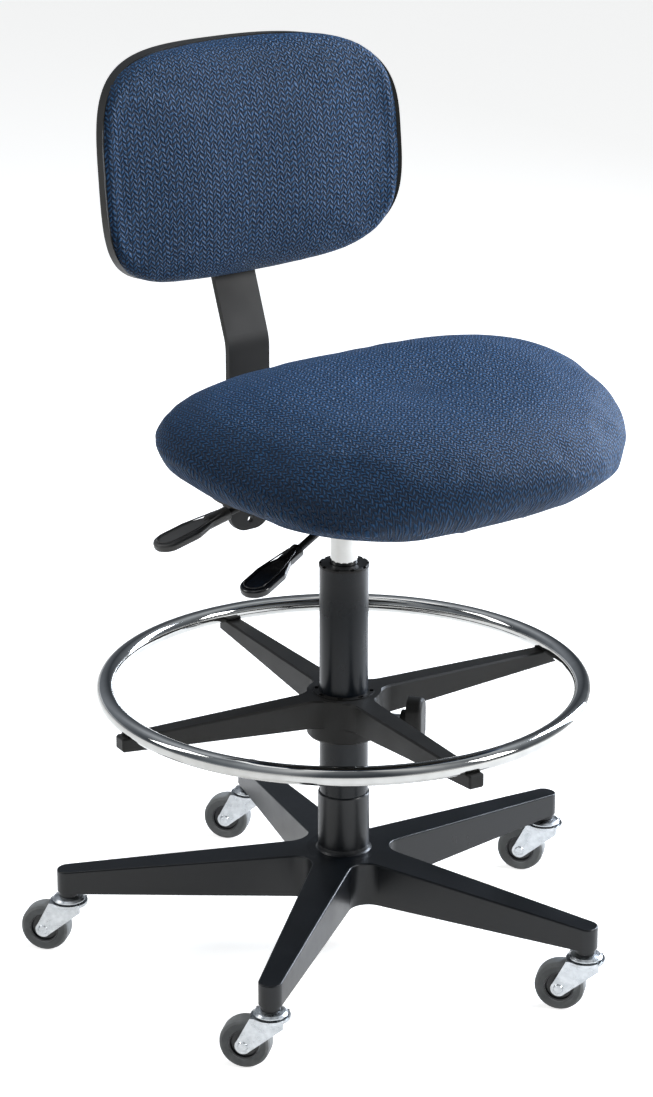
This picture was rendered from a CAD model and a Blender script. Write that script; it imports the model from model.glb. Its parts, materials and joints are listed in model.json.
import json
import logging
import math
from dataclasses import dataclass, field
from enum import Enum
from typing import Any, Callable, Iterable

import bmesh
import bpy
import numpy as np
from mathutils import Matrix, Vector


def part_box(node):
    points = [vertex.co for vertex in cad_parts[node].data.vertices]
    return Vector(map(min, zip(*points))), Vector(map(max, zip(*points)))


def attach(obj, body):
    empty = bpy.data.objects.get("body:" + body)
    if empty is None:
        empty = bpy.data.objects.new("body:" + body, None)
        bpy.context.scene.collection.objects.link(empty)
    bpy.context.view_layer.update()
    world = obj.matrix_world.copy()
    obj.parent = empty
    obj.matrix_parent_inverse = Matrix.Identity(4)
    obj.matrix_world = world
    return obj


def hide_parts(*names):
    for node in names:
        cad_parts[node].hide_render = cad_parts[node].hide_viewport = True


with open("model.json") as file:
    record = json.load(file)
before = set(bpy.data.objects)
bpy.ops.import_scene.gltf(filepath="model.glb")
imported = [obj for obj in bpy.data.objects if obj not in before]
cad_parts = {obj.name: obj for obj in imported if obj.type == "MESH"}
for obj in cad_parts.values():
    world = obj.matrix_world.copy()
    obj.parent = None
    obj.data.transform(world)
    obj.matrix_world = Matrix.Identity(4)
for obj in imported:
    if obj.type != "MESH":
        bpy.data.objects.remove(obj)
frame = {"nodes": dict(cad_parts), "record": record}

"""Drafting chair on castors: finishes, upholstery and studio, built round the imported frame."""

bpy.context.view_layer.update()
CLOTH_RUN = "cloth_run"
LOG = logging.getLogger("drafting_chair")


# ---------------------------------------------------------------- small tools


def linear(colour: str) -> tuple[float, float, float, float]:
    """Turn an sRGB hex colour into linear light.

    Args:
        colour: Six hex digits with a leading "#".

    Returns:
        Red, green, blue and an alpha of one, linear.
    """
    levels = [int(colour[place:place + 2], 16) / 255 for place in (1, 3, 5)]
    light = [level / 12.92 if level <= 0.04045 else ((level + 0.055) / 1.055) ** 2.4 for level in levels]
    return (*light, 1.0)


def per_mm(size: float) -> float:
    """Texture scale for a feature of a size in millimetres, where coordinates are metres."""
    return 1000 / size


def add_node(tree: bpy.types.NodeTree, kind: str, inputs: dict[Any, Any] | None = None,
             **settings: Any) -> bpy.types.Node:
    """Add one shader node, with its settings and its links.

    Args:
        tree: The node tree to add to.
        kind: The node's type name, without the "ShaderNode" prefix.
        inputs: Socket name or index, to a plain value or to an output socket to link from.
        **settings: Properties of the node itself.

    Returns:
        The new node.
    """
    node = tree.nodes.new("ShaderNode" + kind)
    for name, setting in settings.items():
        setattr(node, name, setting)
    for key, source in (inputs or {}).items():
        if isinstance(source, bpy.types.NodeSocket):
            tree.links.new(source, node.inputs[key])
        else:
            node.inputs[key].default_value = source
    return node


def new_object(name: str, data: bpy.types.Mesh | bpy.types.Curve) -> bpy.types.Object:
    """Link a mesh or a curve into the scene as an object.

    Args:
        name: The object's name.
        data: Its mesh or curve.

    Returns:
        The new object.
    """
    piece = bpy.data.objects.new(name, data)
    bpy.context.scene.collection.objects.link(piece)
    return piece


def points_of(mesh: bpy.types.Mesh) -> np.ndarray:
    """Read a mesh's vertices.

    Args:
        mesh: The mesh to read.

    Returns:
        One row x, y, z for each vertex.
    """
    flat = np.empty(len(mesh.vertices) * 3, dtype=np.float32)
    mesh.vertices.foreach_get("co", flat)
    return flat.reshape(-1, 3).astype(float)


def set_points(mesh: bpy.types.Mesh, points: np.ndarray) -> None:
    """Move a mesh's vertices to the rows of an array."""
    mesh.vertices.foreach_set("co", points.astype(np.float32).ravel())
    mesh.update()


def normals_of(mesh: bpy.types.Mesh) -> np.ndarray:
    """Read a mesh's vertex normals.

    Args:
        mesh: The mesh to read.

    Returns:
        One row x, y, z for each vertex.
    """
    flat = np.empty(len(mesh.vertices) * 3, dtype=np.float32)
    mesh.vertex_normals.foreach_get("vector", flat)
    return flat.reshape(-1, 3).astype(float)


def evened(mesh: bpy.types.Mesh, points: np.ndarray, rounds: int, share: float = 0.5) -> np.ndarray:
    """Move each point towards the mean of its neighbours.

    Args:
        mesh: The mesh whose edges say which points are neighbours.
        points: The points to even out.
        rounds: How many times to repeat.
        share: How far each point moves towards the mean each time.

    Returns:
        The evened points.
    """
    edges = np.empty(len(mesh.edges) * 2, dtype=np.int32)
    mesh.edges.foreach_get("vertices", edges)
    first, second = edges.reshape(-1, 2).T
    counts = np.bincount(edges, minlength=len(points))[:, None]
    for _ in range(rounds):
        total = np.zeros_like(points)
        np.add.at(total, first, points[second])
        np.add.at(total, second, points[first])
        points = points + share * (total / np.maximum(counts, 1) - points)
    return points


def smoothstep(low: float, high: float, amount: np.ndarray) -> np.ndarray:
    """Step softly from 0 to 1.

    Args:
        low: Where the step starts.
        high: Where it ends.
        amount: The values to step.

    Returns:
        The stepped values, 0 to 1.
    """
    part = np.clip((amount - low) / (high - low), 0, 1)
    return part * part * (3 - 2 * part)


# ---------------------------------------------------------------- finishes


@dataclass(frozen=True)
class Finish:
    """A real material with an even surface; the kinds below add its grain.

    Attributes:
        name: The material's name, after the real one.
        colour: Its sRGB colour.
        roughness: How matt it is, 0 to 1.
        metallic: One for bare or plated metal.
        specular: Strength of its plain reflection; half is usual.
        grain: Size of its surface grain in millimetres.
        relief: Height of that grain in millimetres.
    """

    name: str
    colour: str
    roughness: float = 0.5
    metallic: float = 0.0
    specular: float = 0.5
    grain: float = 1.0
    relief: float = 0.02

    def material(self) -> bpy.types.Material:
        """Build the material, once.

        Returns:
            The material, which is shared by every piece with this finish.
        """
        made = bpy.data.materials.get(self.name)
        if made:
            return made
        made = bpy.data.materials.new(self.name)
        made.use_nodes = True
        tree = made.node_tree
        tree.nodes.clear()
        shader = add_node(tree, "BsdfPrincipled", {
            "Base Color": linear(self.colour), "Roughness": self.roughness, "Metallic": self.metallic,
            "Specular IOR Level": self.specular})
        add_node(tree, "OutputMaterial", {"Surface": shader.outputs["BSDF"]})
        place = add_node(tree, "TexCoord").outputs["Object"]
        self.dress(tree, shader, place)
        return made

    def dress(self, tree: bpy.types.NodeTree, shader: bpy.types.Node, place: bpy.types.NodeSocket) -> None:
        """Add the grain that this kind of surface has.

        Args:
            tree: The material's nodes.
            shader: Its main shader.
            place: The coordinates that travel with the piece, in metres.
        """
        self.add_grain(tree, shader, place)

    def add_grain(self, tree: bpy.types.NodeTree, shader: bpy.types.Node,
                  place: bpy.types.NodeSocket) -> None:
        """Raise a fine, even grain.

        Args:
            tree: The material's nodes.
            shader: Its main shader.
            place: The coordinates to follow.
        """
        noise = add_node(tree, "TexNoise", {"Vector": place, "Scale": per_mm(self.grain), "Detail": 3.0})
        bump = add_node(tree, "Bump", {"Height": noise.outputs[0], "Distance": self.relief / 1000})
        tree.links.new(bump.outputs[0], shader.inputs["Normal"])

    def vary(self, tree: bpy.types.NodeTree, shader: bpy.types.Node, place: bpy.types.NodeSocket,
             size: float, low: float, high: float) -> bpy.types.Node:
        """Vary the gloss in patches, as handling and dust do.

        Args:
            tree: The material's nodes.
            shader: Its main shader.
            place: The coordinates to follow.
            size: The patches' size in millimetres.
            low: The least roughness.
            high: The greatest roughness.

        Returns:
            The noise node, for other uses of the same patches.
        """
        patches = add_node(tree, "TexNoise", {"Vector": place, "Scale": per_mm(size), "Detail": 4.0})
        span = add_node(tree, "MapRange", {
            "Value": patches.outputs[0], "From Min": 0.3, "From Max": 0.7, "To Min": low, "To Max": high})
        tree.links.new(span.outputs[0], shader.inputs["Roughness"])
        return patches

    def tint(self, tree: bpy.types.NodeTree, shader: bpy.types.Node, factor: bpy.types.NodeSocket,
             low: str, high: str, start: float = 0.3, end: float = 0.7) -> None:
        """Run the base colour between two colours.

        Args:
            tree: The material's nodes.
            shader: Its main shader.
            factor: What picks the colour, 0 to 1.
            low: The sRGB colour at the start.
            high: The sRGB colour at the end.
            start: The factor below which the low colour is plain.
            end: The factor above which the high colour is plain.
        """
        ramp = add_node(tree, "ValToRGB", {"Fac": factor})
        ramp.color_ramp.elements[0].position = start
        ramp.color_ramp.elements[0].color = linear(low)
        ramp.color_ramp.elements[1].position = end
        ramp.color_ramp.elements[1].color = linear(high)
        tree.links.new(ramp.outputs[0], shader.inputs["Base Color"])


@dataclass(frozen=True)
class Enamel(Finish):
    """Baked enamel or powder coat on steel: a hard skin with a faint orange peel.

    Attributes:
        patch: Size of its gloss patches in millimetres.
        spread: How far its roughness goes either side of the mean.
        lift: The sRGB colour of its lightest patches.
    """

    patch: float = 60.0
    spread: float = 0.06
    lift: str = "#20242A"

    def dress(self, tree: bpy.types.NodeTree, shader: bpy.types.Node, place: bpy.types.NodeSocket) -> None:
        """Add orange peel, gloss patches and a slight lift of colour.

        Args:
            tree: The material's nodes.
            shader: Its main shader.
            place: The coordinates that travel with the piece, in metres.
        """
        self.add_grain(tree, shader, place)
        patches = self.vary(tree, shader, place, self.patch, self.roughness - self.spread,
                            self.roughness + self.spread)
        self.tint(tree, shader, patches.outputs[0], self.colour, self.lift)


@dataclass(frozen=True)
class Plating(Finish):
    """Bright or dull plated metal, with a faint mottle under the plate.

    Attributes:
        patch: Size of the mottle in millimetres.
        spread: How far its roughness goes either side of the mean.
        shade: The sRGB colour of its darkest patches.
    """

    patch: float = 18.0
    spread: float = 0.03
    shade: str = "#B8BABC"

    def dress(self, tree: bpy.types.NodeTree, shader: bpy.types.Node, place: bpy.types.NodeSocket) -> None:
        """Add the mottle to gloss and colour; the metal keeps its default index.

        Args:
            tree: The material's nodes.
            shader: Its main shader.
            place: The coordinates that travel with the piece, in metres.
        """
        self.add_grain(tree, shader, place)
        patches = self.vary(tree, shader, place, self.patch, max(self.roughness - self.spread, 0.02),
                            self.roughness + self.spread)
        self.tint(tree, shader, patches.outputs[0], self.shade, self.colour)


@dataclass(frozen=True)
class Moulding(Finish):
    """Injection moulded plastic with a spark-eroded texture and flow shading.

    Attributes:
        patch: Size of its cloudy patches in millimetres.
        spread: How far its roughness goes either side of the mean.
        lift: The sRGB colour of its lightest patches.
    """

    patch: float = 35.0
    spread: float = 0.05
    lift: str = "#34322E"

    def dress(self, tree: bpy.types.NodeTree, shader: bpy.types.Node, place: bpy.types.NodeSocket) -> None:
        """Add the eroded texture and cloudy gloss.

        Args:
            tree: The material's nodes.
            shader: Its main shader.
            place: The coordinates that travel with the piece, in metres.
        """
        cells = add_node(tree, "TexVoronoi", {"Vector": place, "Scale": per_mm(self.grain)})
        bump = add_node(tree, "Bump", {"Height": cells.outputs["Distance"], "Distance": self.relief / 1000})
        tree.links.new(bump.outputs[0], shader.inputs["Normal"])
        patches = self.vary(tree, shader, place, self.patch, self.roughness - self.spread,
                            self.roughness + self.spread)
        self.tint(tree, shader, patches.outputs[0], self.colour, self.lift)


@dataclass(frozen=True)
class Rubber(Finish):
    """Moulded rubber: matt, a little dusty, with scuffs where it rolls.

    Attributes:
        dust: The sRGB colour of its bloom.
        scuff: Size of the scuffs in millimetres.
    """

    dust: str = "#9A9B9A"
    scuff: float = 9.0

    def dress(self, tree: bpy.types.NodeTree, shader: bpy.types.Node, place: bpy.types.NodeSocket) -> None:
        """Add bloom and scuffs.

        Args:
            tree: The material's nodes.
            shader: Its main shader.
            place: The coordinates that travel with the piece, in metres.
        """
        self.add_grain(tree, shader, place)
        patches = add_node(tree, "TexNoise", {"Vector": place, "Scale": per_mm(self.scuff), "Detail": 6.0})
        self.tint(tree, shader, patches.outputs[0], self.colour, self.dust, 0.4, 0.75)


@dataclass(frozen=True)
class MouldedPly(Finish):
    """Beech veneer glued in layers: pale, with long grain lines.

    Attributes:
        line: The sRGB colour of the grain lines.
        drawn_out: Scale along the board, which stretches the grain.
    """

    line: str = "#8F6A42"
    drawn_out: float = 0.08

    def dress(self, tree: bpy.types.NodeTree, shader: bpy.types.Node, place: bpy.types.NodeSocket) -> None:
        """Add long grain along the board.

        Args:
            tree: The material's nodes.
            shader: Its main shader.
            place: The coordinates that travel with the piece, in metres.
        """
        stretch = add_node(tree, "Mapping", {"Vector": place, "Scale": (self.drawn_out, 1.0, 1.0)})
        grain = add_node(tree, "TexNoise", {
            "Vector": stretch.outputs[0], "Scale": per_mm(self.grain), "Detail": 5.0})
        self.tint(tree, shader, grain.outputs[0], self.line, self.colour)


@dataclass(frozen=True)
class ZigzagWeave(Finish):
    """Polyester contract cloth woven in short raised zigzag dashes.

    Attributes:
        gap: Colour of the shaded ground between the dashes.
        column: Width of one leg of the zigzag, in millimetres.
        row: Distance from one zigzag to the next, in millimetres.
        slant: How far a leg climbs for its width.
        stagger: The most that a leg is offset from its neighbour, in millimetres.
        sheen: How much light the cloth's fibres catch at a glancing angle.
        sheen_roughness: How widely they scatter it.
        sheen_tint: The sRGB colour of that light.
        wander: How far the dashes stray, in millimetres.
        wander_size: Size of the patches that stray together, in millimetres.
        yarn: Share of the relief that is the yarn's own grain.
        crest: Where in its wave a dash starts to rise, -1 to 1.
        dash_end: Share of a leg over which a dash runs out.
        dash_floor: How much of the dash is left at its end.
        tint_span: The relief at which the ground's and the dash's colours are plain.
    """

    gap: str = "#081628"
    column: float = 4.4
    row: float = 5.4
    slant: float = 0.9
    stagger: float = 4.6
    sheen: float = 0.12
    sheen_roughness: float = 0.45
    sheen_tint: str = "#5E9CE8"
    wander: float = 5.0
    wander_size: float = 7.0
    yarn: float = 0.3
    crest: float = -0.7
    dash_end: float = 0.28
    dash_floor: float = 0.12
    tint_span: tuple[float, float] = (0.05, 1.1)

    def dress(self, tree: bpy.types.NodeTree, shader: bpy.types.Node, place: bpy.types.NodeSocket) -> None:
        """Draw the dashes from the cloth's own run, which each cover carries in millimetres.

        Args:
            tree: The material's nodes.
            shader: Its main shader.
            place: The coordinates that travel with the piece, in metres.
        """
        shader.inputs["Sheen Weight"].default_value = self.sheen
        shader.inputs["Sheen Roughness"].default_value = self.sheen_roughness
        shader.inputs["Sheen Tint"].default_value = linear(self.sheen_tint)
        run = add_node(tree, "Attribute", attribute_name=CLOTH_RUN).outputs["Vector"]
        wander = add_node(tree, "TexNoise", {"Vector": run, "Scale": 1 / self.wander_size, "Detail": 2.0})
        centred = add_node(tree, "VectorMath", {0: wander.outputs["Color"], 1: (0.5, 0.5, 0.5)},
                           operation="SUBTRACT")
        shift = add_node(tree, "VectorMath", {0: centred.outputs[0], "Scale": self.wander},
                         operation="SCALE")
        laid = add_node(tree, "VectorMath", {0: run, 1: shift.outputs[0]}, operation="ADD")
        parts = add_node(tree, "SeparateXYZ", {0: laid.outputs[0]})
        across, along = parts.outputs[0], parts.outputs[1]
        leg = add_node(tree, "Math", {0: across, 1: self.column}, operation="PINGPONG")
        count = add_node(tree, "Math", {0: across, 1: self.column}, operation="DIVIDE")
        whole = add_node(tree, "Math", {0: count.outputs[0]}, operation="FLOOR")
        offset = add_node(tree, "TexWhiteNoise", {"W": whole.outputs[0]}, noise_dimensions="1D")
        stepped = add_node(tree, "Math", {0: offset.outputs["Value"], 1: self.stagger, 2: along},
                           operation="MULTIPLY_ADD")
        climb = add_node(tree, "Math", {0: leg.outputs[0], 1: self.slant, 2: stepped.outputs[0]},
                         operation="MULTIPLY_ADD")
        turn = add_node(tree, "Math", {0: climb.outputs[0], 1: math.tau / self.row}, operation="MULTIPLY")
        wave = add_node(tree, "Math", {0: turn.outputs[0]}, operation="COSINE")
        ridge = add_node(tree, "MapRange", {
            "Value": wave.outputs[0], "From Min": self.crest, "From Max": 1.0, "To Min": 0.0, "To Max": 1.0},
            interpolation_type="SMOOTHSTEP")
        middle = add_node(tree, "Math", {0: across, 1: self.column / 2}, operation="PINGPONG")
        dash = add_node(tree, "MapRange", {
            "Value": middle.outputs[0], "From Min": 0.0, "From Max": self.column * self.dash_end,
            "To Min": self.dash_floor, "To Max": 1.0}, interpolation_type="SMOOTHSTEP")
        raised = add_node(tree, "Math", {0: ridge.outputs[0], 1: dash.outputs[0]}, operation="MULTIPLY")
        yarn = add_node(tree, "TexNoise", {"Vector": run, "Scale": 1 / self.grain, "Detail": 3.0})
        height = add_node(tree, "Math", {0: yarn.outputs[0], 1: self.yarn, 2: raised.outputs[0]},
                          operation="MULTIPLY_ADD")
        bump = add_node(tree, "Bump", {"Height": height.outputs[0], "Distance": self.relief / 1000})
        tree.links.new(bump.outputs[0], shader.inputs["Normal"])
        self.tint(tree, shader, height.outputs[0], self.gap, self.colour, *self.tint_span)


@dataclass(frozen=True)
class LightTable(Finish):
    """A pale floor that is evenly lit from below.

    Attributes:
        glow: Strength of the light from below.
    """

    glow: float = 0.85

    def dress(self, tree: bpy.types.NodeTree, shader: bpy.types.Node, place: bpy.types.NodeSocket) -> None:
        """Light the floor from below.

        Args:
            tree: The material's nodes.
            shader: Its main shader.
            place: The coordinates that travel with the piece, in metres.
        """
        self.add_grain(tree, shader, place)
        shader.inputs["Emission Color"].default_value = linear(self.colour)
        shader.inputs["Emission Strength"].default_value = self.glow


class Surface(Enum):
    """Every finish on the chair, by the part of it that shows it."""

    # Navy contract cloth: a soft, slightly shiny pile of dashes over a dark ground. The real thread
    # is about 0.5 mm, too fine to show, so the yarn's own grain is drawn at 1.1 mm.
    UPHOLSTERY = ZigzagWeave("woven_polyester_navy", "#2B5F92", roughness=0.66, specular=0.35,
                             grain=1.1, relief=2.2)
    # Black powder coat on cast aluminium arms: deep black, with blue-grey light on its flat tops.
    STAR = Enamel("powder_coat_black_on_aluminium", "#04070A", roughness=0.33, specular=0.4,
                  grain=0.9, relief=0.03, lift="#080C11")
    # Black enamel on the drawn steel column: smoother and glossier than the arms.
    COLUMN = Enamel("enamel_black_on_steel_tube", "#060C12", roughness=0.27, specular=0.3,
                    grain=1.4, relief=0.01, lift="#0D141B")
    # Satin paint on the flat steel bar and the mechanism: a warm dark grey.
    STEEL = Enamel("satin_paint_dark_grey_on_steel", "#131312", roughness=0.5, specular=0.3,
                   grain=0.8, relief=0.02, lift="#1A1918")
    # Bright chrome plate: a mirror with the least haze.
    CHROME = Plating("chrome_plate_polished", "#BDBDBB", roughness=0.07, metallic=1.0, grain=2.5,
                     relief=0.002, shade="#B2B2B0")
    # Bright zinc plate on pressed steel: silvery, hazier than chrome and faintly mottled.
    ZINC = Plating("zinc_plate_bright", "#C9CCCF", roughness=0.3, metallic=1.0, grain=0.6, relief=0.006,
                   spread=0.07, patch=7.0, shade="#A9ADB0")
    # Glass-filled nylon spider, pan and shell: warm black with a fine eroded texture.
    NYLON = Moulding("nylon_glass_filled_black", "#181817", roughness=0.5, specular=0.3,
                     grain=0.7, relief=0.03, lift="#22211F")
    # The rear lever's paddle: plain satin plastic, dark grey.
    SATIN_LEVER = Moulding("abs_satin_dark_grey", "#5A5957", roughness=0.42, grain=0.6, relief=0.012,
                           lift="#555452")
    # The front lever's paddle: glossier and blacker.
    GLOSS_LEVER = Moulding("abs_gloss_black", "#0B0B0C", roughness=0.18, grain=1.5, relief=0.004,
                           lift="#101012", spread=0.03)
    # Grey non-marking rubber on the castors.
    TREAD = Rubber("rubber_grey_non_marking", "#9C9E9E", roughness=0.62, grain=0.5, relief=0.02,
                   dust="#B0B2B2")
    # The castors' moulded nylon centres.
    HUB = Moulding("nylon_dark_hub", "#2A2B2C", roughness=0.4, grain=0.8, relief=0.015, lift="#36373A")
    # Soft black rubber of the hidden buffer.
    BUFFER = Rubber("rubber_black_buffer", "#101010", roughness=0.75, grain=0.6, relief=0.02,
                    dust="#1C1C1C")
    # Beech ply board inside the back.
    PLY = MouldedPly("beech_ply_moulded", "#C79F6B", roughness=0.55, grain=1.2)
    # Matt studio floor paint, off-white, evenly lit from below like a light table.
    FLOOR = LightTable("studio_floor_paint_pale", "#F2F2F1", roughness=0.8, grain=3.0, relief=0.01)


# ---------------------------------------------------------------- hard parts


@dataclass(frozen=True)
class HardParts:
    """The frame's own hard nodes, which keep their shapes and get their finishes here.

    Attributes:
        finishes: Each record slot with the finish that it shows.
    """

    finishes: dict[str, Surface] = field(default_factory=lambda: {
        "black_cast": Surface.STAR, "black_tube": Surface.COLUMN, "chrome": Surface.CHROME,
        "zinc": Surface.ZINC, "black_moulding": Surface.NYLON, "lever_plastic": Surface.SATIN_LEVER,
        "gloss_lever": Surface.GLOSS_LEVER, "dark_steel": Surface.STEEL, "tread_grey": Surface.TREAD,
        "hub_nylon": Surface.HUB, "navy_fabric": Surface.UPHOLSTERY, "plywood": Surface.PLY,
        "black_rubber": Surface.BUFFER})

    def dress(self) -> int:
        """Give every node its finish.

        Returns:
            How many nodes were dressed.
        """
        rows = frame["record"]["subparts"]
        for row in rows:
            piece = frame["nodes"][row["node"]]
            piece.data.materials.clear()
            piece.data.materials.append(self.finishes[row["material_slot"]].value.material())
        return len(rows)


# ---------------------------------------------------------------- upholstery


@dataclass
class CoverPull:
    """Foam pressing out against a tight cover.

    Attributes:
        voxel: Spacing of the cover's mesh, in metres.
        pressure: The foam's push.
        cap: The most that any point may move, in metres.
        frames: How long the cover takes to settle.
        inset: How much smaller the foam starts than the finished cushion, in metres.
        rounds: Evening passes that give the cloth its soft turns.
        quality: Solver steps in a frame.
        mass: Mass of one point of the cloth.
        stretch: Stiffness against stretch and against crowding.
        shear: Stiffness against shear.
        bend: Stiffness against bending.
    """

    voxel: float = 0.005
    pressure: float = 4.0
    cap: float = 0.006
    frames: int = 20
    inset: float = 0.0035
    rounds: int = 6
    quality: int = 6
    mass: float = 0.3
    stretch: float = 25.0
    shear: float = 8.0
    bend: float = 1.5

    def remesh(self, piece: bpy.types.Object) -> None:
        """Give a closed cover an even mesh.

        Args:
            piece: The cushion, whose mesh is replaced.
        """
        remesh = piece.modifiers.new("even_mesh", "REMESH")
        remesh.mode = "VOXEL"
        remesh.voxel_size = self.voxel
        self.apply(piece)

    def apply(self, piece: bpy.types.Object) -> None:
        """Replace a piece's mesh by what its modifiers make of it.

        Args:
            piece: The piece, which loses its modifiers.
        """
        graph = bpy.context.evaluated_depsgraph_get()
        mesh = bpy.data.meshes.new_from_object(piece.evaluated_get(graph))
        piece.modifiers.clear()
        piece.data = mesh

    def settle(self, piece: bpy.types.Object, held: Callable[[np.ndarray], np.ndarray]) -> None:
        """Let the foam press the cover out, held where it is fixed.

        Args:
            piece: The cushion, already evenly meshed.
            held: Tells which points are fixed to the board, as a true or false per row.
        """
        start = points_of(piece.data)
        fixed = held(start)
        start = start - normals_of(piece.data) * self.inset * (~fixed)[:, None]
        set_points(piece.data, start)
        group = piece.vertex_groups.new(name="held")
        group.add([int(row) for row in np.flatnonzero(fixed)], 1.0, "REPLACE")
        cloth = piece.modifiers.new("cover", "CLOTH")
        cloth.settings.quality = self.quality
        cloth.settings.mass = self.mass
        cloth.settings.tension_stiffness = self.stretch
        cloth.settings.compression_stiffness = self.stretch
        cloth.settings.shear_stiffness = self.shear
        cloth.settings.bending_stiffness = self.bend
        cloth.settings.use_pressure = True
        cloth.settings.uniform_pressure_force = self.pressure
        cloth.settings.vertex_group_mass = "held"
        cloth.settings.effector_weights.gravity = 0
        cloth.point_cache.frame_start = 1
        cloth.point_cache.frame_end = self.frames
        scene = bpy.context.scene
        for step in range(1, self.frames + 1):
            scene.frame_set(step)
        self.apply(piece)
        scene.frame_set(1)
        piece.vertex_groups.clear()
        moved = points_of(piece.data) - start
        reach = np.linalg.norm(moved, axis=1, keepdims=True)
        limited = moved * self.cap * np.tanh(reach / self.cap) / np.maximum(reach, 1e-9)
        set_points(piece.data, start + limited)

    def finish(self, piece: bpy.types.Object) -> None:
        """Even out the cover and shade it smooth.

        Args:
            piece: The cushion, already settled.
        """
        points = evened(piece.data, points_of(piece.data), self.rounds)
        set_points(piece.data, points)
        piece.data.shade_smooth()


@dataclass
class Cushion:
    """One padded piece, shaped from its CAD solid and covered in the woven cloth.

    Attributes:
        node: The CAD node that it stands for.
        body: The body that it rides on.
        name: The piece's own name.
        fill: How full the pad is, 0 to 1.
        pull: How its cover is pressed out.
        ease: How much of its drop the cloth runs down a side.
    """

    node: str
    body: str
    name: str
    fill: float
    pull: CoverPull
    ease: float = field(default=0.8, kw_only=True)

    def local(self) -> Matrix:
        """The cushion's own frame: its middle, with the sitter's face of it along +Z."""
        raise NotImplementedError

    def shape(self, points: np.ndarray) -> np.ndarray:
        """Move points of the foam, in the cushion's own frame, before it is covered."""
        raise NotImplementedError

    def held(self, points: np.ndarray) -> np.ndarray:
        """Tell which points are fixed to the board, in the cushion's own frame."""
        raise NotImplementedError

    def top(self) -> float:
        """Height of the cushion's crown in its own frame, in metres."""
        raise NotImplementedError

    def to_local(self, points: np.ndarray) -> np.ndarray:
        """Points of the chair's frame, in the cushion's own.

        Args:
            points: Rows in the chair's frame, in metres.

        Returns:
            The same rows in the cushion's frame.
        """
        turn = np.array(self.local().inverted())
        return points @ turn[:3, :3].T + turn[:3, 3]

    def to_chair(self, points: np.ndarray) -> np.ndarray:
        """Points of the cushion's own frame, in the chair's.

        Args:
            points: Rows in the cushion's frame, in metres.

        Returns:
            The same rows in the chair's frame.
        """
        turn = np.array(self.local())
        return points @ turn[:3, :3].T + turn[:3, 3]

    def lay_cloth(self, piece: bpy.types.Object) -> None:
        """Store how the cloth runs over the cushion: from its crown outwards and down its sides.

        Args:
            piece: The cushion, whose mesh carries the run in millimetres.
        """
        points = self.to_local(points_of(piece.data))
        reach = np.hypot(points[:, 0], points[:, 1])
        drop = np.maximum(self.top() - points[:, 2], 0)
        run = (reach + self.ease * drop) / np.maximum(reach, 1e-6)
        cloth = np.column_stack([points[:, 0] * run, points[:, 1] * run, np.zeros(len(points))]) * 1000
        store = piece.data.attributes.new(CLOTH_RUN, "FLOAT_VECTOR", "POINT")
        store.data.foreach_set("vector", cloth.astype(np.float32).ravel())

    def build(self) -> bpy.types.Object:
        """Shape, inflate and dress the cushion.

        Returns:
            The finished piece, which rides on its body in place of the CAD solid.
        """
        piece = new_object(self.name, frame["nodes"][self.node].data.copy())
        piece.data.materials.clear()
        self.pull.remesh(piece)
        set_points(piece.data, self.to_chair(self.shape(self.to_local(points_of(piece.data)))))
        self.pull.settle(piece, lambda points: self.held(self.to_local(points)))
        self.pull.finish(piece)
        self.lay_cloth(piece)
        soften = piece.modifiers.new("soften", "SUBSURF")
        soften.levels = soften.render_levels = 1
        self.pull.apply(piece)
        piece.data.materials.clear()
        piece.data.materials.append(Surface.UPHOLSTERY.value.material())
        piece.data.shade_smooth()
        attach(piece, self.body)
        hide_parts(self.node)
        return piece


@dataclass
class SeatCushion(Cushion):
    """The contoured seat: a broad pad with a shallow dish and rolled edges.

    Attributes:
        centre: Its middle in the chair's frame, in metres.
        pitch: How far it leans forward, in degrees.
        half_width: Half its width, in metres.
        half_depth: Half its depth, in metres.
        half_height: Half its height, in metres.
        dish: Depth of the sitting dish, in metres.
        dish_share: How much of the seat's width and depth the dish takes.
        dish_back: How far the dish lies behind the middle, in metres.
        crown: Height over which the dish fades in, in metres.
        tuck: How far past the pan the cloth is stapled, in metres.
        tuck_height: How far up the pan's edge it is stapled, in metres.
    """

    centre: tuple[float, float, float] = (0.0, -0.111, 0.582)
    pitch: float = 6.0
    half_width: float = 0.246
    half_depth: float = 0.174
    half_height: float = 0.056
    dish: float = 0.009
    dish_share: float = 0.68
    dish_back: float = -0.01
    crown: float = 0.03
    tuck: float = 0.006
    tuck_height: float = 0.004

    def local(self) -> Matrix:
        """The seat's middle, pitched forward."""
        return Matrix.Translation(self.centre) @ Matrix.Rotation(math.radians(self.pitch), 4, "X")

    def top(self) -> float:
        """The crown's height above the seat's middle."""
        return self.half_height

    def shape(self, points: np.ndarray) -> np.ndarray:
        """Press the sitting dish into the top, clear of the rear edge.

        Args:
            points: The foam's points, in the cushion's frame.

        Returns:
            The pressed points.
        """
        across = points[:, 0] / (self.half_width * self.dish_share)
        along = (points[:, 1] - self.dish_back) / (self.half_depth * self.dish_share)
        depth = 1 - smoothstep(0.0, 1.0, np.hypot(across, along))
        upper = smoothstep(0.0, self.crown, points[:, 2])
        points[:, 2] -= self.dish * depth * upper
        return points

    def held(self, points: np.ndarray) -> np.ndarray:
        """Hold the cloth flat where it is stapled over the pan.

        Args:
            points: The cover's points, in the cushion's frame.

        Returns:
            True for each point that is held.
        """
        low, high = (np.array(corner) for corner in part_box("seat_pan"))
        chair = self.to_chair(points)
        flat = chair[:, :2]
        inside = np.all((flat > low[:2] - self.tuck) & (flat < high[:2] + self.tuck), axis=1)
        return inside & (chair[:, 2] < high[2] + self.tuck_height)


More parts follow.
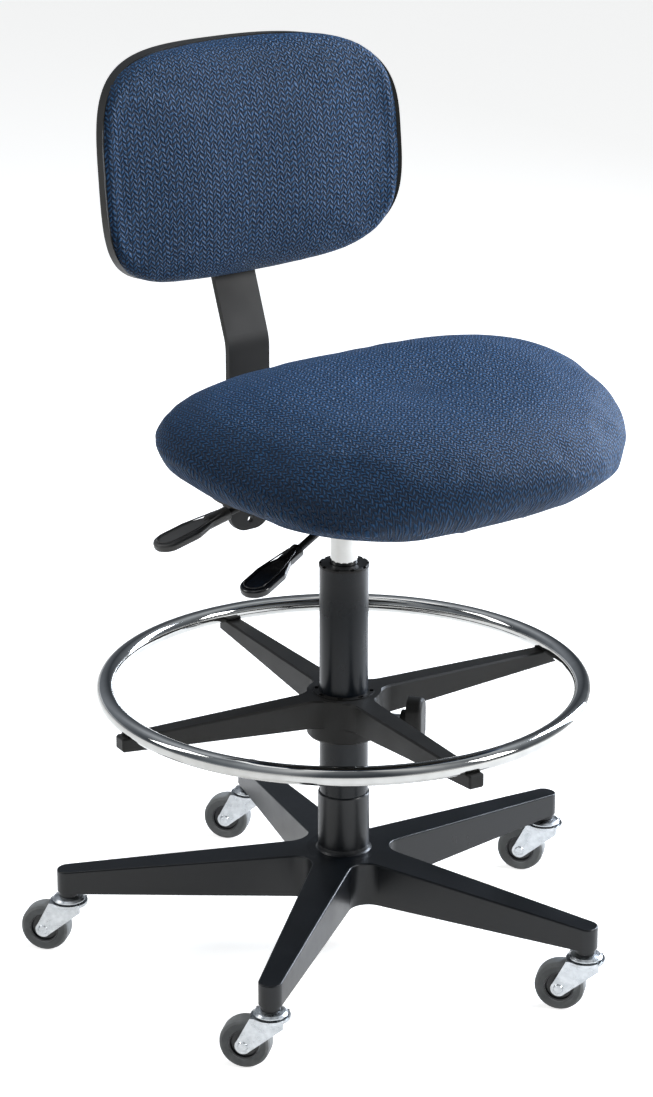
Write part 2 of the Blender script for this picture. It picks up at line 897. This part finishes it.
@dataclass
class BackCushion(Cushion):
    """The backrest's pad: it bends round the sitter and rolls over at its rim.

    Attributes:
        centre: Its middle in the chair's frame, in metres.
        recline: How far it leans back, in degrees.
        half_width: Half its width, in metres.
        half_height: Half its height, in metres.
        power: How square its outline is.
        front: How far its face lies in front of its middle, in metres.
        roll: How far its face rolls back at the rim, in metres.
        roll_span: Where the roll starts and ends, 0 in the middle and 1 at the rim.
        face_span: Depth over which the face takes up the roll, in metres.
        swell: How far its sides swell over the shell's edge, in metres.
        swell_from: Where the swell starts, 0 in the middle and 1 at the rim.
        board_radius: Radius that its board is bent to, in metres.
        board_depth: Depth of the board's face in front of the middle, in metres.
        tuck: How far in front of the board the cloth is held, in metres.
    """

    centre: tuple[float, float, float] = (0.0, 0.198, 0.803)
    recline: float = 5.0
    half_width: float = 0.179
    half_height: float = 0.114
    power: float = 3.4
    front: float = 0.050
    roll: float = 0.013
    roll_span: tuple[float, float] = (0.3, 1.08)
    face_span: tuple[float, float] = (0.012, 0.05)
    swell: float = 0.0024
    swell_from: float = 0.8
    board_radius: float = 0.343
    board_depth: float = 0.007
    tuck: float = 0.004

    def local(self) -> Matrix:
        """The back's middle, leaning back, turned so that its face is +Z and its top is +Y."""
        lean = Matrix.Rotation(math.radians(-self.recline), 4, "X")
        return Matrix.Translation(self.centre) @ lean @ Matrix.Rotation(math.radians(90), 4, "X")

    def top(self) -> float:
        """The crown's height in front of the back's middle."""
        return self.front

    def share(self, points: np.ndarray) -> np.ndarray:
        """Tell how far out each point lies.

        Args:
            points: Rows in the cushion's frame.

        Returns:
            0 in the middle and 1 at the rim, per row.
        """
        across = np.abs(points[:, 0] / self.half_width) ** self.power
        up = np.abs(points[:, 1] / self.half_height) ** self.power
        return (across + up) ** (1 / self.power)

    def shape(self, points: np.ndarray) -> np.ndarray:
        """Roll the face back towards the rim, and let the sides swell over the shell's edge.

        Args:
            points: The foam's points, in the cushion's frame.

        Returns:
            The rolled points.
        """
        depth = smoothstep(*self.roll_span, self.share(points))
        face = smoothstep(*self.face_span, points[:, 2])
        points[:, 2] -= self.roll * depth * face
        side = smoothstep(self.swell_from, 1.0, self.share(points))[:, None]
        outward = points[:, :2] / np.maximum(np.hypot(points[:, 0], points[:, 1]), 1e-6)[:, None]
        points[:, :2] += self.swell * side * outward
        return points

    def held(self, points: np.ndarray) -> np.ndarray:
        """Hold the cloth along its rear face, which lies on the bent board.

        Args:
            points: The cover's points, in the cushion's frame.

        Returns:
            True for each point that is held.
        """
        bend = self.board_radius - np.sqrt(np.maximum(self.board_radius ** 2 - points[:, 0] ** 2, 0))
        return points[:, 2] < self.board_depth + bend + self.tuck


# ---------------------------------------------------------------- levers


@dataclass
class PaddleBead:
    """The moulded outline bead on a lever's paddle.

    Attributes:
        node: The paddle's CAD node.
        body: The lever's body.
        slot: The record slot of the paddle's finish.
        surface: The finish.
        inset: How far inside the paddle's outline the bead lies, in metres.
        radius: The bead's radius, in metres.
        steps: Points round the loop.
        grazing: The least cosine at which an edge still bounds the loop.
        face_percent: Share of the paddle's points that lie below its upper face.
    """

    node: str
    body: str
    slot: str
    surface: Surface
    inset: float = 0.0045
    radius: float = 0.0007
    steps: int = 72
    grazing: float = 0.05
    face_percent: float = 98.0

    def build(self) -> bpy.types.Object:
        """Lay the bead on the paddle's upper face.

        Returns:
            The bead, riding on its lever.
        """
        points = points_of(frame["nodes"][self.node].data)
        middle = (points.max(axis=0) + points.min(axis=0)) / 2
        _, _, axes = np.linalg.svd(points - points.mean(axis=0), full_matrices=False)
        long, wide, up = axes
        if up[2] < 0:
            up = -up
        wide = np.cross(up, long)
        flat = (points - middle) @ np.column_stack([long, wide, up])
        angles = np.arange(self.steps) * math.tau / self.steps
        edge = (flat[:, :2] @ np.array([np.cos(angles), np.sin(angles)])).max(axis=0) - self.inset
        facing = np.cos(angles[:, None] - angles[None, :])
        loop = np.where(facing > self.grazing, edge / np.maximum(facing, self.grazing), np.inf).min(axis=1)
        face = np.percentile(flat[:, 2], self.face_percent)
        curve = bpy.data.curves.new(self.node + "_bead", "CURVE")
        curve.dimensions = "3D"
        curve.bevel_depth = self.radius
        curve.bevel_resolution = 2
        spline = curve.splines.new("POLY")
        spline.points.add(self.steps - 1)
        for point, angle, reach in zip(spline.points, angles, loop):
            spot = middle + reach * (math.cos(angle) * long + math.sin(angle) * wide) + face * up
            point.co = (*spot, 1)
        spline.use_cyclic_u = True
        bead = new_object(self.node + "_bead", curve)
        curve.materials.append(self.surface.value.material())
        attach(bead, self.body)
        return bead


# ---------------------------------------------------------------- studio


@dataclass
class Studio:
    """A pale floor, soft lights and the camera.

    Attributes:
        floor_reach: The floor's radius, in metres.
        camera_spot: The camera's place, in metres.
        camera_aim: The direction that it looks in.
        lens: Its focal length, in millimetres.
        sensor: Its sensor's width, in millimetres.
        lit_point: The height that the soft boxes face, in metres.
        seen_strength: Strength of the room as it is seen and reflected.
        fill_strength: Strength of its light on matt surfaces.
        levels: The room's brightness by height, from below to above.
        panels: Its bright and dark panels, once round.
    """

    floor_reach: float = 14.0
    camera_spot: tuple[float, float, float] = (-1.901, -2.493, 1.516)
    camera_aim: tuple[float, float, float] = (0.569, 0.755, -0.326)
    lens: float = 108.3
    sensor: float = 36.0
    lit_point: float = 0.5
    seen_strength: float = 1.2
    fill_strength: float = 0.32
    levels: tuple[tuple[float, str], ...] = (
        (0.0, "#B4B4B3"), (0.06, "#F2F4F6"), (0.16, "#85898E"), (0.5, "#9A9EA3"), (1.0, "#F6F8FA"))
    panels: tuple[tuple[float, str], ...] = (
        (0.0, "#D0D4D8"), (0.07, "#FFFFFF"), (0.12, "#8A8E92"), (0.2, "#7C7F83"), (0.27, "#FFFFFF"),
        (0.36, "#8E9296"), (0.5, "#E8ECF0"), (0.62, "#74787E"), (0.75, "#F6F9FE"), (0.88, "#80858B"),
        (1.0, "#D0D4D8"))

    def build_floor(self) -> None:
        """Lay a round, pale floor."""
        shape = bmesh.new()
        bmesh.ops.create_circle(shape, cap_ends=True, segments=96, radius=self.floor_reach)
        mesh = bpy.data.meshes.new("studio_floor")
        shape.to_mesh(mesh)
        shape.free()
        floor = new_object("studio_floor", mesh)
        mesh.materials.append(Surface.FLOOR.value.material())
        floor.visible_diffuse = False

    def add_light(self, name: str, spot: tuple[float, float, float], size: tuple[float, float],
                  power: float, colour: str) -> None:
        """Hang a soft box that faces the chair.

        Args:
            name: The light's name.
            spot: Its place, in metres.
            size: Its width and height, in metres.
            power: Its power in watts.
            colour: Its sRGB colour.
        """
        data = bpy.data.lights.new(name, "AREA")
        data.shape = "RECTANGLE"
        data.size, data.size_y = size
        data.energy = power
        data.color = linear(colour)[:3]
        lamp = bpy.data.objects.new(name, data)
        lamp.location = spot
        aim = Vector((0, 0, self.lit_point)) - Vector(spot)
        lamp.rotation_euler = aim.to_track_quat("-Z", "Y").to_euler()
        bpy.context.scene.collection.objects.link(lamp)

    def banded(self, tree: bpy.types.NodeTree, factor: bpy.types.NodeSocket,
               stops: Iterable[tuple[float, str]]) -> bpy.types.NodeSocket:
        """Run a factor through a list of colours.

        Args:
            tree: The nodes to add to.
            factor: What picks the colour, 0 to 1.
            stops: Places and sRGB colours, from 0 to 1.

        Returns:
            The colour's output.
        """
        ramp = add_node(tree, "ValToRGB", {"Fac": factor})
        first, *middle, last = stops
        ramp.color_ramp.elements[0].color = linear(first[1])
        ramp.color_ramp.elements[-1].color = linear(last[1])
        for place, colour in middle:
            ramp.color_ramp.elements.new(place).color = linear(colour)
        return ramp.outputs[0]

    def build_lights(self) -> None:
        """Hang the soft boxes and light the room."""
        self.add_light("left_box", (-2.0, 1.6, 2.2), (0.7, 1.6), 22, "#FFFFFF")
        self.add_light("front_box", (1.7, -2.4, 1.9), (0.9, 1.2), 56, "#FFFFFF")
        self.add_light("right_box", (2.5, 0.0, 1.3), (0.8, 2.0), 112, "#E6F0FF")
        self.add_light("top_box", (-0.3, 0.3, 3.1), (1.4, 1.4), 8, "#FFFFFF")
        world = bpy.data.worlds.new("studio_room")
        bpy.context.scene.world = world
        world.use_nodes = True
        tree = world.node_tree
        tree.nodes.clear()
        aim = add_node(tree, "TexCoord").outputs["Generated"]
        height = add_node(tree, "SeparateXYZ", {0: aim}).outputs[2]
        round_room = add_node(tree, "TexGradient", {"Vector": aim}, gradient_type="RADIAL").outputs[1]
        walls = add_node(tree, "Mix", {0: 1.0, 6: self.banded(tree, height, self.levels),
                                       7: self.banded(tree, round_room, self.panels)},
                         data_type="RGBA", blend_type="MULTIPLY")
        matt = add_node(tree, "LightPath").outputs["Is Diffuse Ray"]
        soft = add_node(tree, "MapRange", {
            "Value": matt, "To Min": self.seen_strength, "To Max": self.fill_strength})
        back = add_node(tree, "Background", {"Color": walls.outputs[2], "Strength": soft.outputs[0]})
        add_node(tree, "OutputWorld", {"Surface": back.outputs[0]})

    def build_camera(self) -> None:
        """Set the camera at the standing viewer's eye, to the chair's front right."""
        data = bpy.data.cameras.new("viewer")
        data.lens = self.lens
        data.sensor_width = self.sensor
        data.clip_end = 60
        camera = bpy.data.objects.new("viewer", data)
        camera.location = self.camera_spot
        camera.rotation_euler = Vector(self.camera_aim).to_track_quat("-Z", "Y").to_euler()
        bpy.context.scene.collection.objects.link(camera)
        bpy.context.scene.camera = camera
        bpy.context.scene.view_settings.view_transform = "Standard"

    def build(self) -> None:
        """Build floor, lights and camera."""
        self.build_camera()
        self.build_floor()
        self.build_lights()


# ---------------------------------------------------------------- the chair


def report(what: str, pieces: Iterable[bpy.types.Object]) -> None:
    """Log a sub-assembly's pieces.

    Args:
        what: The sub-assembly's name.
        pieces: Its finished pieces.
    """
    for piece in pieces:
        LOG.info("%s: %s made", what, piece.name)


def main() -> None:
    """Build the studio, dress the hard parts and make the upholstery."""
    logging.basicConfig(level=logging.INFO, format="%(name)s: %(message)s")
    Studio().build()
    LOG.info("studio built")
    LOG.info("%d hard parts dressed", HardParts().dress())
    seat = SeatCushion("seat_cushion", "seat", "seat_upholstery", 0.8, CoverPull())
    back = BackCushion("back_cushion", "backrest", "back_upholstery", 0.8,
                       CoverPull(voxel=0.004, cap=0.006, inset=0.001, rounds=4))
    report("upholstery", [seat.build(), back.build()])
    beads = [
        PaddleBead("height_lever_paddle", "height_lever", "lever_plastic", Surface.SATIN_LEVER),
        PaddleBead("tilt_lever_paddle", "tilt_lever", "gloss_lever", Surface.GLOSS_LEVER)]
    report("levers", [bead.build() for bead in beads])


if __name__ == "__main__":
    main()
